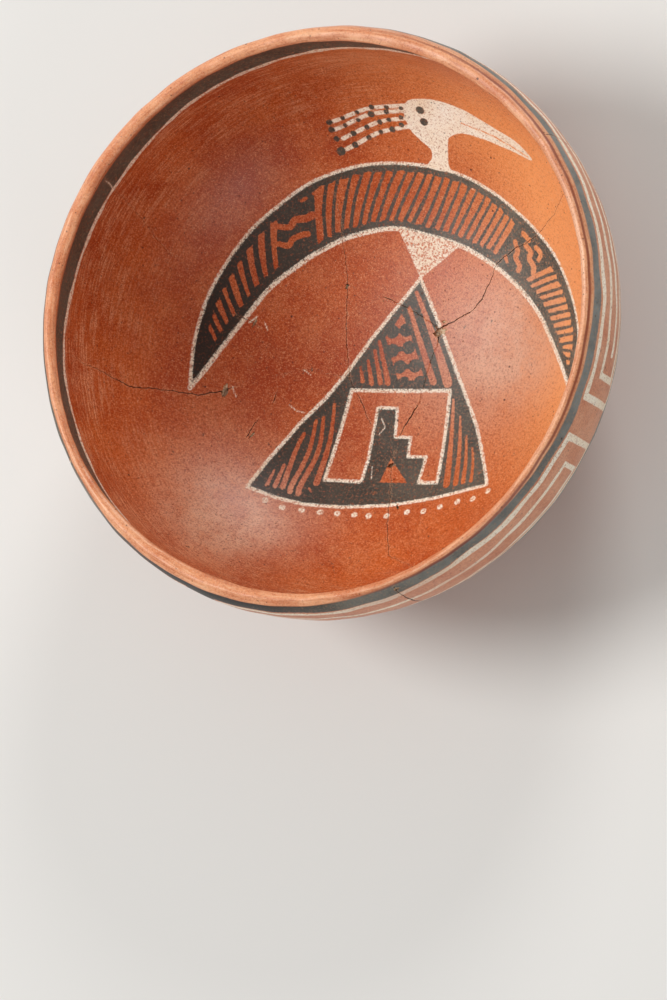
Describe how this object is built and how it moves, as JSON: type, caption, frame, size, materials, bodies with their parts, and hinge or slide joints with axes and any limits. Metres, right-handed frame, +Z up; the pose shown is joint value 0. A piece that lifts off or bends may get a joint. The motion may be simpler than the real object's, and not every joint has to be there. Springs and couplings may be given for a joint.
{
  "type": "painted pottery bowl",
  "caption": "Deep round-bottomed pottery bowl with a drawn-in rim and a worn flat base, mended from sherds set edge to edge.",
  "frame": {"origin": "middle of the worn flat that the bowl stands on", "axes": "+Z up, out of the mouth; -Y towards the dark upright bar painted on the outside"},
  "size_m": [0.2679, 0.2659, 0.1081],
  "materials": {
    "painted_pottery": "burnished orange-red slip with black and cream paint, worn satin"
  },
  "bodies": {
    "root": {"back_sherd": "painted_pottery", "back_left_sherd": "painted_pottery", "left_sherd": "painted_pottery", "front_left_sherd": "painted_pottery", "rim_chip": "painted_pottery", "front_sherd": "painted_pottery", "right_sherd": "painted_pottery", "middle_sherd": "painted_pottery"}
  },
  "joints": []
}
